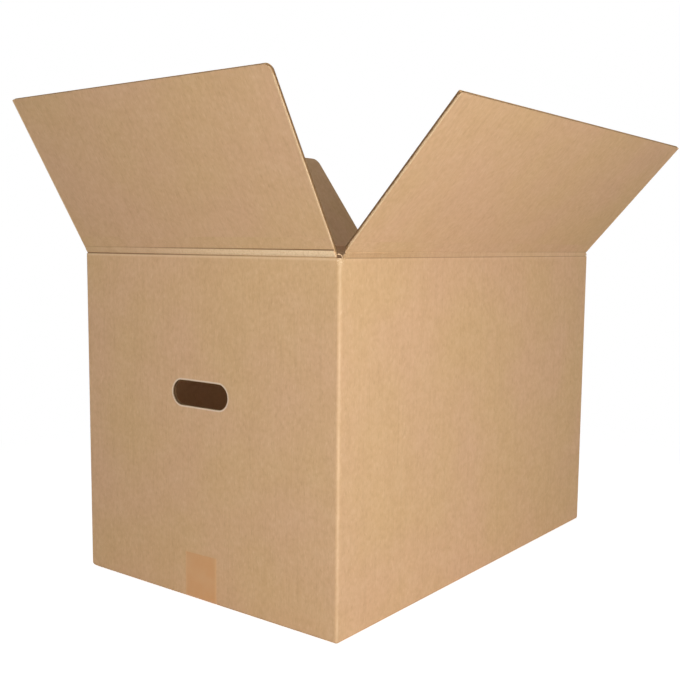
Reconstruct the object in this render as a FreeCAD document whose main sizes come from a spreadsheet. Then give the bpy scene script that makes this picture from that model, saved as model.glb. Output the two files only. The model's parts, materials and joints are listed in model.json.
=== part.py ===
import FreeCAD, Part
import os

import Sketcher
from FreeCAD import Vector

# Open slotted carton of single-wall corrugated board, with its four top flaps folded open.
# Millimetres. X runs along the long side, Y along the short side and Z up. The origin is the
# middle of the underside. The near end is at -X and the near side at -Y.

doc = FreeCAD.newDocument("open_carton")

# Driving sizes
DRIVING_SIZES = {
    # outside of the folded box
    "box_length": 600,
    "box_width": 400,
    "crease_height": 400,
    # board: two liners and the fluted medium between them
    "board": 4,
    "liner": 0.5,
    "medium": 0.4,
    "glue_line": 0.3,
    "flute_pitch": 7.9,
    # folds
    "fold_radius": 4,
    "crush_depth": 4.8,
    "crease_offset": 0.2,
    "crease_play": 0.7,
    "flap_play": 0.1,
    "nest_gap": 0.4,
    # top flaps
    "meeting_gap": 10,
    "slide_gap": 0.4,
    "side_flap_trim": 7,
    "near_end_lean_angle": 30.3,
    "far_end_lean_angle": 42,
    "near_side_lean_angle": 42,
    "far_side_lean_angle": 36.4,
    "cut_corner": 1.5,
    "near_end_worn_corner": 8,
    "far_side_worn_corner": 12,
    # hand holes in both end panels
    "hand_hole_width": 88,
    "hand_hole_height": 30,
    "hand_hole_centre": 242,
    # bottom flaps and glued joint
    "seam_gap": 1.2,
    "bottom_slot": 2,
    "bottom_flap_trim": 1.5,
    "glue_tab_width": 35,
    "glue_tab_thickness": 3,
    "glue_tab_taper": 9,
    "glue_tab_margin": 4,
    # crushed corner under the near end
    "worn_corner": 11,
    "worn_corner_run": 46,
    "worn_corner_end": 4.2,
    # packing tape along the bottom seam
    "tape_width": 50,
    "tape_thickness": 0.2,
    "tape_reach": 56,
    "tape_side_gap": 0.2,
}

sheet = doc.addObject("Spreadsheet::Sheet", "sizes")
for row, (word, value) in enumerate(DRIVING_SIZES.items(), start=1):
    sheet.set(f"A{row}", word)
    sheet.set(f"B{row}", str(value))
    sheet.setAlias(f"B{row}", word)
doc.recompute()

# Places that several pieces share, as expressions on the sheet
HALF_LENGTH = "sizes.box_length / 2"
HALF_WIDTH = "sizes.box_width / 2"
INNER_HALF_LENGTH = "(sizes.box_length / 2 - sizes.board)"
INNER_HALF_WIDTH = "(sizes.box_width / 2 - sizes.board)"
SIDE_CREASE = "(sizes.crease_height + sizes.board + sizes.nest_gap)"
END_WALL_TOP = "(sizes.crease_height - sizes.crease_play)"
SIDE_WALL_TOP = f"({SIDE_CREASE} - sizes.crease_play)"
SIDE_FLAP_REACH = "(sizes.box_width / 2 + sizes.crease_offset - sizes.meeting_gap / 2)"
END_FLAP_REACH = f"({SIDE_FLAP_REACH} + {SIDE_CREASE} - sizes.crease_height)"
END_FLAP_WIDTH = f"(2 * ({INNER_HALF_WIDTH} - sizes.slide_gap))"
SIDE_FLAP_END = "(sizes.box_length / 2 - sizes.side_flap_trim)"
SIDE_FLAP_WIDTH = f"(2 * {SIDE_FLAP_END})"
BOTTOM_FLAP_EDGE = f"({HALF_LENGTH} - {END_FLAP_REACH})"

# How far a cutting outline runs past what it cuts, and the steps of a rounded corner's arc
OVERSHOOT = 1
ARC_ANGLES = (22.5, 45, 67.5)

Y_AXIS = Vector(0, 1, 0)
Z_AXIS = Vector(0, 0, 1)
SAME = 1e-6


def value(expression):
    """The number that an expression on the sheet gives."""
    return float(sheet.evalExpression(expression))


def own_plane(body, role):
    """One of the body's own origin planes."""
    return next(plane for plane in body.Origin.OriginFeatures if plane.Role == role)


def new_sketch(body, name, role, lift=None):
    """An empty sketch in one of the body's origin planes, or lifted off it by an expression."""
    sketch = body.newObject("Sketcher::SketchObject", name)
    sketch.AttachmentSupport = [(own_plane(body, role), "")]
    sketch.MapMode = "FlatFace"
    if lift:
        sketch.setExpression("AttachmentOffset.Base.z", lift)
    return sketch


def hold(sketch, geometry, point, kind, expression):
    """Holds one point of the sketch at a distance from the origin that follows the sheet."""
    row = sketch.addConstraint(
        Sketcher.Constraint(f"Distance{kind}", -1, 1, geometry, point, value(expression))
    )
    sketch.setExpression(f"Constraints[{row}]", expression)


def outline(sketch, corners):
    """Adds a closed outline of straight lines whose corners follow pairs of expressions."""
    points = [Vector(value(across), value(up), 0) for across, up in corners]
    first = sketch.GeometryCount
    count = len(points)
    for number in range(count):
        line = Part.LineSegment(points[number], points[(number + 1) % count])
        sketch.addGeometry(line, False)
    for number in range(count):
        following = first + (number + 1) % count
        sketch.addConstraint(Sketcher.Constraint("Coincident", first + number, 2, following, 1))
    for number, (across, up) in enumerate(corners):
        hold(sketch, first + number, 1, "X", across)
        hold(sketch, first + number, 1, "Y", up)


def rectangle(sketch, low_x, high_x, low_y, high_y):
    """Adds a rectangle between four expressions."""
    corners = [(low_x, low_y), (high_x, low_y), (high_x, high_y), (low_x, high_y)]
    outline(sketch, corners)


def circle(sketch, across, up, radius):
    """Adds a circle whose centre and radius follow expressions."""
    centre = Vector(value(across), value(up), 0)
    number = sketch.addGeometry(Part.Circle(centre, Vector(0, 0, 1), value(radius)), False)
    hold(sketch, number, 3, "X", across)
    hold(sketch, number, 3, "Y", up)
    row = sketch.addConstraint(Sketcher.Constraint("Radius", number, value(radius)))
    sketch.setExpression(f"Constraints[{row}]", radius)


def feature(body, kind, name, sketch, length=None, midplane=False, backward=False):
    """Pads or pockets a sketch, by an expression or, for a pocket with none, through everything."""
    made = body.newObject(f"PartDesign::{kind}", name)
    made.Profile = sketch
    if midplane:
        made.Midplane = True
    if backward:
        made.Reversed = True
    if length:
        made.setExpression("Length", length)
    else:
        made.Type = "ThroughAll"
    body.Tip = made
    doc.recompute()
    return made


def round_edges(body, name, radius, wanted):
    """Fillets the edges of the body's latest feature that a test picks out."""
    base = body.Tip
    edges = [f"Edge{n}" for n, edge in enumerate(base.Shape.Edges, start=1) if wanted(edge)]
    made = body.newObject("PartDesign::Fillet", name)
    made.Base = (base, edges)
    made.setExpression("Radius", radius)
    body.Tip = made
    doc.recompute()
    return made


def runs_along(edge, axis):
    """True where a straight edge is parallel to an axis."""
    if edge.Curve.TypeId != "Part::GeomLine":
        return False
    return abs(abs(edge.Curve.Direction.dot(axis)) - 1) < SAME


# Carton: the folded blank without its top flaps
def fold_walls(body):
    """Four panels and the outer bottom flaps, with the folds rounded as pressed board is."""
    block = new_sketch(body, "panel_outline", "XY_Plane")
    rectangle(block, f"-{HALF_LENGTH}", HALF_LENGTH, f"-{HALF_WIDTH}", HALF_WIDTH)
    feature(body, "Pad", "panels", block, SIDE_WALL_TOP)

    def is_fold(edge):
        upright = runs_along(edge, Z_AXIS)
        return upright or edge.BoundBox.ZMax < SAME

    round_edges(body, "folds", "sizes.fold_radius", is_fold)
    inside = new_sketch(body, "inside_outline", "XY_Plane", "sizes.board")
    rectangle(
        inside,
        f"-{INNER_HALF_LENGTH}",
        INNER_HALF_LENGTH,
        f"-{INNER_HALF_WIDTH}",
        INNER_HALF_WIDTH,
    )
    feature(body, "Pocket", "inside", inside, backward=True)


def fold_inner_bottom_flaps(body):
    """The two end flaps of the bottom, which lie on the side flaps inside the box."""
    flaps = new_sketch(body, "inner_bottom_flap_outline", "XY_Plane", "sizes.board")
    edge = f"({INNER_HALF_WIDTH} - sizes.bottom_flap_trim)"
    rectangle(flaps, f"-{INNER_HALF_LENGTH}", f"-{BOTTOM_FLAP_EDGE}", f"-{edge}", edge)
    rectangle(flaps, BOTTOM_FLAP_EDGE, INNER_HALF_LENGTH, f"-{edge}", edge)
    feature(body, "Pad", "inner_bottom_flaps", flaps, "sizes.board")


def glue_joint(body):
    """The maker's joint: the blank's last strip, glued inside the far end panel."""
    inner_face = f"{INNER_HALF_LENGTH} - sizes.glue_tab_thickness"
    tab = new_sketch(body, "glue_tab_outline", "YZ_Plane", inner_face)
    root = INNER_HALF_WIDTH
    tip = f"({INNER_HALF_WIDTH} - sizes.glue_tab_width)"
    low = "(2 * sizes.board + sizes.glue_tab_margin)"
    high = f"({END_WALL_TOP} - sizes.crush_depth - sizes.glue_tab_margin)"
    corners = [
        (root, low),
        (root, high),
        (tip, f"{high} - sizes.glue_tab_taper"),
        (tip, f"{low} + sizes.glue_tab_taper"),
    ]
    outline(tab, corners)
    feature(body, "Pad", "glue_tab", tab, "sizes.glue_tab_thickness")


def cut_end_creases(body):
    """Lowers the end panels and the slot bottoms to the end flaps' crease, and crushes the fold."""
    high = f"({SIDE_WALL_TOP} + {OVERSHOOT})"
    slots = new_sketch(body, "end_slot_outline", "XZ_Plane")
    outer = f"({HALF_LENGTH} + {OVERSHOOT})"
    rectangle(slots, f"-{outer}", f"-{SIDE_FLAP_END}", END_WALL_TOP, high)
    rectangle(slots, SIDE_FLAP_END, outer, END_WALL_TOP, high)
    feature(body, "Pocket", "end_slots", slots, midplane=True)
    crush = new_sketch(body, "end_crush_outline", "XZ_Plane")
    low = f"({END_WALL_TOP} - sizes.crush_depth)"
    for side in ("-", ""):
        corners = [
            (f"{side}{HALF_LENGTH}", END_WALL_TOP),
            (f"{side}{INNER_HALF_LENGTH}", low),
            (f"{side}{INNER_HALF_LENGTH}", f"{END_WALL_TOP} + {OVERSHOOT}"),
            (f"{side}{HALF_LENGTH}", f"{END_WALL_TOP} + {OVERSHOOT}"),
        ]
        outline(crush, corners)
    feature(body, "Pocket", "end_crush", crush, f"2 * {INNER_HALF_WIDTH}", midplane=True)


def cut_side_creases(body):
    """Crushes the fold along the top of both side panels."""
    crush = new_sketch(body, "side_crush_outline", "YZ_Plane")
    low = f"({SIDE_WALL_TOP} - sizes.crush_depth)"
    for side in ("-", ""):
        corners = [
            (f"{side}{HALF_WIDTH}", SIDE_WALL_TOP),
            (f"{side}{INNER_HALF_WIDTH}", low),
            (f"{side}{INNER_HALF_WIDTH}", f"{SIDE_WALL_TOP} + {OVERSHOOT}"),
            (f"{side}{HALF_WIDTH}", f"{SIDE_WALL_TOP} + {OVERSHOOT}"),
        ]
        outline(crush, corners)
    feature(body, "Pocket", "side_crush", crush, SIDE_FLAP_WIDTH, midplane=True)


def cut_hand_holes(body):
    """One hand hole with round ends through both end panels."""
    half_height = "(sizes.hand_hole_height / 2)"
    reach = f"(sizes.hand_hole_width / 2 - {half_height})"
    middle = new_sketch(body, "hand_hole_middle_outline", "YZ_Plane")
    low = f"(sizes.hand_hole_centre - {half_height})"
    high = f"(sizes.hand_hole_centre + {half_height})"
    rectangle(middle, f"-{reach}", reach, low, high)
    feature(body, "Pocket", "hand_hole_middle", middle, midplane=True)
    ends = new_sketch(body, "hand_hole_end_outline", "YZ_Plane")
    circle(ends, f"-{reach}", "sizes.hand_hole_centre", half_height)
    circle(ends, reach, "sizes.hand_hole_centre", half_height)
    feature(body, "Pocket", "hand_hole_ends", ends, midplane=True)


def cut_bottom(body):
    """The seam and slots of the outer bottom flaps, and the tape's bed pressed into them."""
    seam = new_sketch(body, "bottom_seam_outline", "XY_Plane")
    half_gap = "(sizes.seam_gap / 2)"
    rectangle(seam, f"-{SIDE_FLAP_END}", SIDE_FLAP_END, f"-{half_gap}", half_gap)
    feature(body, "Pocket", "bottom_seam", seam, "sizes.board", backward=True)
    slots = new_sketch(body, "bottom_slot_outline", "XY_Plane")
    inner = f"({SIDE_FLAP_END} - sizes.bottom_slot)"
    for side in ("-", ""):
        across = sorted((f"{side}{inner}", f"{side}{SIDE_FLAP_END}"), key=value)
        rectangle(slots, across[0], across[1], f"-{INNER_HALF_WIDTH}", INNER_HALF_WIDTH)
    feature(body, "Pocket", "bottom_slots", slots, "sizes.board", backward=True)
    bed = new_sketch(body, "tape_bed_outline", "XY_Plane")
    half_bed = "(sizes.tape_width / 2 + sizes.tape_side_gap)"
    outer = f"({HALF_LENGTH} + {OVERSHOOT})"
    rectangle(bed, f"-{outer}", outer, f"-{half_bed}", half_bed)
    feature(body, "Pocket", "tape_bed", bed, "sizes.tape_thickness", backward=True)


def wear_corner(body):
    """The crushed corner under the near end, rounded most at the end panel and fading along X."""
    low = f"(-{OVERSHOOT})"
    high = f"({HALF_WIDTH} + {OVERSHOOT})"
    places = (
        (f"-{HALF_LENGTH} - {OVERSHOOT}", "sizes.worn_corner"),
        (f"-{HALF_LENGTH} + sizes.worn_corner_run", "sizes.worn_corner_end"),
    )
    sections = []
    for number, (place, radius) in enumerate(places):
        sketch = new_sketch(body, f"worn_corner_outline_{number}", "YZ_Plane", place)
        arc = [
            (f"{HALF_WIDTH} - {radius} * (1 - cos({angle}))", f"{radius} * (1 - sin({angle}))")
            for angle in ARC_ANGLES
        ]
        start = [(high, low), (high, radius), (HALF_WIDTH, radius)]
        end = [(f"{HALF_WIDTH} - {radius}", "0"), (f"{HALF_WIDTH} - {radius}", low)]
        outline(sketch, start + arc + end)
        sections.append(sketch)
    loft = body.newObject("PartDesign::SubtractiveLoft", "worn_corner")
    loft.Profile = sections[0]
    loft.Sections = [sections[1]]
    loft.Ruled = True
    body.Tip = loft
    doc.recompute()


def make_carton():
    """The folded carton: panels, bottom flaps and glued joint in one piece of board."""
    body = doc.addObject("PartDesign::Body", "carton")
    body.Label = "carton"
    fold_walls(body)
    fold_inner_bottom_flaps(body)
    glue_joint(body)
    cut_end_creases(body)
    cut_side_creases(body)
    cut_hand_holes(body)
    cut_bottom(body)
    wear_corner(body)
    return body


# Top flaps: one board each, standing on its crease before it is leaned outwards
def cut_flutes(body, width):
    """Opens the channels of the corrugated medium, which run from the crease to the free edge.

    One pair of triangles is the space over and under one wave of the medium. The pair is cut
    along the whole flap and repeated at the flute pitch past both side edges.
    """
    outer = "(sizes.crease_offset + sizes.liner)"
    inner = "(sizes.crease_offset + sizes.board - sizes.liner)"
    glue = "sizes.glue_line / 2"
    start = f"(-floor({width} / 2 / sizes.flute_pitch + 1) * sizes.flute_pitch)"
    half = "(sizes.flute_pitch / 2)"
    pair = new_sketch(body, "flute_outline", "XY_Plane", f"-{OVERSHOOT}")
    over = [
        (f"{start} - {half} + {glue}", outer),
        (f"{start} + {half} - {glue}", outer),
        (start, f"{inner} - sizes.medium"),
    ]
    under = [
        (f"{start} + {glue}", inner),
        (f"{start} + {half}", f"{outer} + sizes.medium"),
        (f"{start} + 2 * {half} - {glue}", inner),
    ]
    outline(pair, over)
    outline(pair, under)
    flute = feature(body, "Pocket", "flute", pair, backward=True)
    row = body.newObject("PartDesign::LinearPattern", "flutes")
    row.Originals = [flute]
    row.Direction = (pair, ["H_Axis"])
    row.Mode = "Spacing"
    row.setExpression("Offset", "sizes.flute_pitch")
    row.setExpression("Occurrences", f"2 * floor({width} / 2 / sizes.flute_pitch + 1) + 1")
    body.Tip = row
    doc.recompute()


def cut_corner(body, side, radius):
    """Rounds the free corner at one end of the flap."""
    half_reach = value(SIDE_FLAP_REACH) / 2

    def is_corner(edge):
        middle = edge.BoundBox.Center
        return runs_along(edge, Y_AXIS) and middle.x * side > 0 and middle.z > half_reach

    name = "low_corner" if side < 0 else "high_corner"
    round_edges(body, name, radius, is_corner)


def make_flap(side, width, reach, crease, turn, low_corner, high_corner):
    """One top flap: cut corners, crushed root, open flutes, then placed on its crease.

    Its own X runs along the crease and its own Z up the flap. The crease's axis is its own
    X axis, just outside the outer liner.
    """
    body = doc.addObject("PartDesign::Body", f"{side}_flap")
    body.Label = f"{side}_flap"
    outer = "sizes.crease_offset"
    inner = "sizes.crease_offset + sizes.board"
    plate = new_sketch(body, "plate_outline", "XY_Plane", "sizes.flap_play")
    rectangle(plate, f"-{width} / 2", f"{width} / 2", outer, inner)
    feature(body, "Pad", "plate", plate, f"{reach} - sizes.flap_play")
    cut_corner(body, -1, low_corner)
    cut_corner(body, 1, high_corner)
    crush = new_sketch(body, "crush_outline", "YZ_Plane")
    corners = [
        (outer, "sizes.flap_play"),
        (inner, "sizes.flap_play + sizes.crush_depth"),
        (f"{inner} + {OVERSHOOT}", "sizes.flap_play + sizes.crush_depth"),
        (f"{inner} + {OVERSHOOT}", f"sizes.flap_play - {OVERSHOOT}"),
        (outer, f"sizes.flap_play - {OVERSHOOT}"),
    ]
    outline(crush, corners)
    feature(body, "Pocket", "crush", crush, midplane=True)
    cut_flutes(body, width)
    across, along, up = crease
    lean = f"sizes.{side}_lean_angle"
    place = f"placement(vector({across}; {along}; {up}); rotation({turn}; 0; {lean}))"
    body.setExpression("Placement", place)
    doc.recompute()
    return body


def make_flaps():
    """The four top flaps, each on its own crease."""
    outer_x = f"({HALF_LENGTH} + sizes.crease_offset)"
    outer_y = f"({HALF_WIDTH} + sizes.crease_offset)"
    near_end = (f"-{outer_x}", "0", "sizes.crease_height")
    far_end = (outer_x, "0", "sizes.crease_height")
    near_side = ("0", f"-{outer_y}", SIDE_CREASE)
    far_side = ("0", outer_y, SIDE_CREASE)
    cut = "sizes.cut_corner"
    worn_end = "sizes.near_end_worn_corner"
    worn_side = "sizes.far_side_worn_corner"
    end_size = (END_FLAP_WIDTH, END_FLAP_REACH)
    side_size = (SIDE_FLAP_WIDTH, SIDE_FLAP_REACH)
    return [
        make_flap("near_end", *end_size, near_end, -90, cut, worn_end),
        make_flap("far_end", *end_size, far_end, 90, cut, cut),
        make_flap("near_side", *side_size, near_side, 0, cut, cut),
        make_flap("far_side", *side_size, far_side, 180, worn_side, cut),
    ]


# Packing tape: one strip along the bottom seam, turned up over both end panels
def tape_box(name, half_length, half_width, low, high, fold=None):
    """A box about the Z axis that follows expressions, with its folds rounded where fold is given."""
    box = doc.addObject("Part::Box", name)
    box.setExpression("Length", f"2 * ({half_length})")
    box.setExpression("Width", f"2 * ({half_width})")
    box.setExpression("Height", f"{high} - ({low})")
    box.setExpression("Placement.Base.x", f"-({half_length})")
    box.setExpression("Placement.Base.y", f"-({half_width})")
    box.setExpression("Placement.Base.z", low)
    doc.recompute()
    if not fold:
        return box
    floor = box.Shape.BoundBox.ZMin
    rounded = doc.addObject("Part::Fillet", f"{name}_folds")
    rounded.Base = box
    rounded.Edges = [
        (number, value(fold), value(fold))
        for number, edge in enumerate(box.Shape.Edges, start=1)
        if runs_along(edge, Y_AXIS) and edge.BoundBox.ZMax - floor < SAME
    ]
    doc.recompute()
    return rounded


def boolean(name, kind, base, tool):
    """A Part boolean of two shapes."""
    made = doc.addObject(f"Part::{kind}", name)
    made.Base = base
    made.Tool = tool
    doc.recompute()
    return made


def make_tape():
    """The tape's own envelope down to the floor, less the carton that it is stuck to."""
    thick = "sizes.tape_thickness"
    half_tape = "sizes.tape_width / 2"
    wide = f"{half_tape} + {OVERSHOOT}"
    long = f"{HALF_LENGTH} + {OVERSHOOT}"
    top = "sizes.tape_reach"
    above = f"{top} + {OVERSHOOT}"
    skin_fold = f"sizes.fold_radius + {thick}"
    skin = tape_box("skin", f"{HALF_LENGTH} + {thick}", half_tape, f"-{thick}", top, skin_fold)
    over_floor = tape_box("over_floor", long, wide, "0", above)
    carton = tape_box("carton_outside", HALF_LENGTH, wide, "0", above, "sizes.fold_radius")
    over_bed = tape_box("over_bed", long, wide, thick, above)
    envelope = boolean("envelope", "Common", skin, over_floor)
    backing = boolean("backing", "Common", carton, over_bed)
    tape = boolean("packing_tape", "Cut", envelope, backing)
    tape.Label = "packing_tape"
    return tape


pieces = [make_carton(), *make_flaps(), make_tape()]
doc.recompute()

# Everything is checked before a file is written
for thing in doc.Objects:
    faults = [word for word in thing.State if word in ("Invalid", "Error")]
    if faults:
        raise RuntimeError(f"{thing.Name} is {faults}")
for piece in pieces:
    if piece.Shape.isNull() or not piece.Shape.isValid():
        raise RuntimeError(f"{piece.Label} has no valid shape")

os.makedirs("parts", exist_ok=True)
for piece in pieces:
    piece.Shape.exportStep(f"parts/{piece.Label}.step")
    box = piece.Shape.BoundBox
    print(
        piece.Label,
        f"{len(piece.Shape.Solids)} solid, {piece.Shape.Volume:.0f} mm3,",
        f"X {box.XMin:.1f} to {box.XMax:.1f}, Y {box.YMin:.1f} to {box.YMax:.1f},",
        f"Z {box.ZMin:.1f} to {box.ZMax:.1f}",
    )
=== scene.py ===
import json
import math

import bpy
import numpy as np
from mathutils import Matrix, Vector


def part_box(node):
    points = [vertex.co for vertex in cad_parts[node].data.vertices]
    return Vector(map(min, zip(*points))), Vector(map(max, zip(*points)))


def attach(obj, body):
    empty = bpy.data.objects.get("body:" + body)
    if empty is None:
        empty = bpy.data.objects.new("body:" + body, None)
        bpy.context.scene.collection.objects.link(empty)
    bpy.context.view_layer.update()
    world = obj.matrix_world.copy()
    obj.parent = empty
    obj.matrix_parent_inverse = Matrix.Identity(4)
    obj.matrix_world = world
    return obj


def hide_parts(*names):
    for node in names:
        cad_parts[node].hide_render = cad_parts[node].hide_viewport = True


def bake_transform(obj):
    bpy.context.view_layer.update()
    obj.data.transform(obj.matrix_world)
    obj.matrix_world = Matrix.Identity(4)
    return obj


# Open slotted carton of kraft corrugated board, standing on a pale floor.
# Metres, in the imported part's frame: X along the long side, Y along the short side, Z up. The
# near end panel is at -X and the near side panel at -Y.

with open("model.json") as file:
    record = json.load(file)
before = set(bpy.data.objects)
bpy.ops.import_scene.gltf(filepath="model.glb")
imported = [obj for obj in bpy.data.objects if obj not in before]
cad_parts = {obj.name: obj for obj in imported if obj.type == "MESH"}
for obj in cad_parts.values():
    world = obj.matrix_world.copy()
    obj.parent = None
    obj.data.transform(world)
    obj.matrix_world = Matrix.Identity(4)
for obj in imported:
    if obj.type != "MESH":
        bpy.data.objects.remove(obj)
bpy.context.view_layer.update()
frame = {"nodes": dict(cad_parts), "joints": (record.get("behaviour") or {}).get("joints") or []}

MM = 0.001
UP = np.array([0.0, 0.0, 1.0])

# The board that the part is folded from
BOARD = 4 * MM
LINER = 0.5 * MM
FLUTE_PITCH = 7.9 * MM
HALF_LENGTH = 300 * MM
HALF_WIDTH = 200 * MM
FOLD_RADIUS = 4 * MM
SLOT_BOTTOM = 399.3 * MM

# A flap's crease: the axis stands off the panel's face, and the V of crushed board is this deep
PIVOT_OFFSET = 0.2 * MM
CRUSH_DEPTH = 4.8 * MM
CREASE_PLAY = 0.7 * MM
FLAP_PLAY = 0.1 * MM

# How far the flaps reach up from their creases, and where the crushed board by a crease ends
FLAP_HEIGHT = {"end": 199.6 * MM, "side": 195.2 * MM}
EDGE_START = {"end": 10.5 * MM, "side": 5 * MM}

# The flaps' corner radius, and the larger ones of two worn corners by crease and end of its axis
CORNER_RADIUS = 1.5 * MM
WORN_CORNERS = {("near_end", 1): 8 * MM, ("far_side", -1): 12 * MM}

# Hand holes: a rounded slot through both end panels
HOLE_MIDDLE = 242 * MM
HOLE_RADIUS = 15 * MM
HOLE_STRAIGHT = 29 * MM

# Tape
TAPE_TOP = 56 * MM
TAPE_HALF_WIDTH = 25 * MM
TAPE_FILM = 0.2 * MM


# Colours
def linear(hex_colour):
    """Turns an sRGB hex colour into linear red, green, blue and alpha."""
    parts = [int(hex_colour[start : start + 2], 16) / 255 for start in (1, 3, 5)]
    return tuple(c / 12.92 if c <= 0.04045 else ((c + 0.055) / 1.055) ** 2.4 for c in parts) + (1,)


KRAFT = linear("#D3AE83")
KRAFT_PINK = linear("#D5AC89")
KRAFT_YELLOW = linear("#D0AC7D")
# Pale kraft is the liner's own paler fibre, and also a painted highlight on the upright folds and
# the crease beads and ridges
KRAFT_PALE_AND_HIGHLIGHT = linear("#ECD0AA")
# Dark kraft fibre, also used as painted shade on the crease beads
FIBRE_DARK_AND_SHADE = linear("#9C7449")
# Painted shade in the score lines' crevices
SCORE_LINE_SHADE = linear("#7A5634")
MEDIUM = linear("#B48E62")
# Painted shade for the open flute hollows at cut edges
FLUTE_HOLLOW_SHADE = linear("#4F3822")
CUT_FIBRE = linear("#E0C39B")
BURST_FIBRE = linear("#E9D6C2")
TAPE_TAN = linear("#CB945C")
TAPE_EDGE = linear("#D8AE7E")
FLOOR_PALE = linear("#F2F2F2")
WHITE = linear("#FFFFFF")


# Nodes and materials
def add(tree, kind, inputs=(), output=0, **settings):
    """Adds a shader node with its settings, fills or links its inputs, and gives one output.

    The inputs are a list in the node's own order, or a dictionary by name or number.
    """
    node = tree.nodes.new("ShaderNode" + kind)
    for name, setting in settings.items():
        setattr(node, name, setting)
    for name, entry in inputs.items() if isinstance(inputs, dict) else enumerate(inputs):
        if isinstance(entry, bpy.types.NodeSocket):
            tree.links.new(entry, node.inputs[name])
        else:
            node.inputs[name].default_value = entry
    return node.outputs[output]


SMOOTH = {"interpolation_type": "SMOOTHSTEP"}
COLOURS = {"output": 2, "data_type": "RGBA"}


def new_material(name):
    """An empty node material and its tree."""
    material = bpy.data.materials.new(name)
    material.use_nodes = True
    material.node_tree.nodes.clear()
    return material, material.node_tree


def kraft_tone(tree, place):
    """Unbleached kraft liner, made on a wire from wet pulp: an uneven, softly clouded brown.

    Its hue drifts slowly, about 150 mm across. The formation, which is how evenly the pulp
    settled, has clouds of 22 and 6 mm. Flecks 1.3 mm wide and 5 mm tall, streaks 3 mm wide and
    dark specks of 0.8 mm are coarser than real fibre bundles, so that they show in the render.
    """
    drift = add(tree, "TexNoise", {"Vector": place, "Scale": 1 / (150 * MM), "Detail": 2})
    drift = add(tree, "MapRange", [drift, 0.3, 0.7, 0.2, 0.8], **SMOOTH)
    colour = add(tree, "Mix", {0: drift, 6: KRAFT_PINK, 7: KRAFT_YELLOW}, **COLOURS)
    for size, strength in ((22 * MM, 0.06), (6 * MM, 0.09)):
        clouds = add(tree, "TexNoise", {"Vector": place, "Scale": 1 / size, "Detail": 4})
        dark = add(tree, "MapRange", [clouds, 0.47, 0.7, 0, strength], **SMOOTH)
        colour = add(tree, "Mix", {0: dark, 6: colour, 7: FIBRE_DARK_AND_SHADE}, **COLOURS)
        pale = add(tree, "MapRange", [clouds, 0.53, 0.3, 0, strength], **SMOOTH)
        colour = add(tree, "Mix", {0: pale, 6: colour, 7: KRAFT_PALE_AND_HIGHLIGHT}, **COLOURS)

    tall = add(tree, "Mapping", {"Vector": place, "Scale": (1, 1, 1 / 40)})
    streaks = add(tree, "TexNoise", {"Vector": tall, "Scale": 1 / (3 * MM), "Detail": 2})
    dark = add(tree, "MapRange", [streaks, 0.5, 0.75, 0, 0.08], **SMOOTH)
    colour = add(tree, "Mix", {0: dark, 6: colour, 7: FIBRE_DARK_AND_SHADE}, **COLOURS)

    upright = add(tree, "Mapping", {"Vector": place, "Scale": (1, 1, 1 / 4)})
    flecks = add(tree, "TexNoise", {"Vector": upright, "Scale": 1 / (1.3 * MM), "Detail": 3})
    dark = add(tree, "MapRange", [flecks, 0.54, 0.8, 0, 0.26], **SMOOTH)
    colour = add(tree, "Mix", {0: dark, 6: colour, 7: FIBRE_DARK_AND_SHADE}, **COLOURS)
    pale = add(tree, "MapRange", [flecks, 0.46, 0.2, 0, 0.3], **SMOOTH)
    colour = add(tree, "Mix", {0: pale, 6: colour, 7: KRAFT_PALE_AND_HIGHLIGHT}, **COLOURS)

    short = add(tree, "Mapping", {"Vector": place, "Scale": (1, 1, 1 / 2.2)})
    specks = add(tree, "TexNoise", {"Vector": short, "Scale": 1 / (0.8 * MM), "Detail": 2})
    dark = add(tree, "MapRange", [specks, 0.69, 0.8, 0, 0.5], **SMOOTH)
    return add(tree, "Mix", {0: dark, 6: colour, 7: FIBRE_DARK_AND_SHADE}, **COLOURS)


def flute_ribs(tree, across, place):
    """A liner's washboard over its glued flutes: a sine at their pitch, fading in patches."""
    turn = add(tree, "Math", [across, 2 * math.pi / FLUTE_PITCH], operation="MULTIPLY")
    wave = add(tree, "Math", [turn], operation="SINE")
    patches = add(tree, "TexNoise", {"Vector": place, "Scale": 1 / (70 * MM), "Detail": 2})
    patches = add(tree, "MapRange", [patches, 0.35, 0.65, 0.35, 1], **SMOOTH)
    return add(tree, "Math", [wave, patches], operation="MULTIPLY")


def paper_finish(tree, colour, place, ribs=None):
    """A dry matte paper surface with fine tooth and, where given, the flutes' faint ribs."""
    tooth = add(tree, "TexNoise", {"Vector": place, "Scale": 1 / (0.5 * MM), "Detail": 3})
    normal = add(tree, "Bump", {"Height": tooth, "Strength": 0.25, "Distance": 0.05 * MM})
    if ribs:
        raised = {"Height": ribs, "Normal": normal, "Strength": 0.6, "Distance": 0.05 * MM}
        normal = add(tree, "Bump", raised)
    paper = {"Base Color": colour, "Normal": normal, "Roughness": 0.82, "Specular IOR Level": 0.25}
    shader = add(tree, "BsdfPrincipled", paper)
    tree.links.new(shader, tree.nodes.new("ShaderNodeOutputMaterial").inputs["Surface"])


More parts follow.
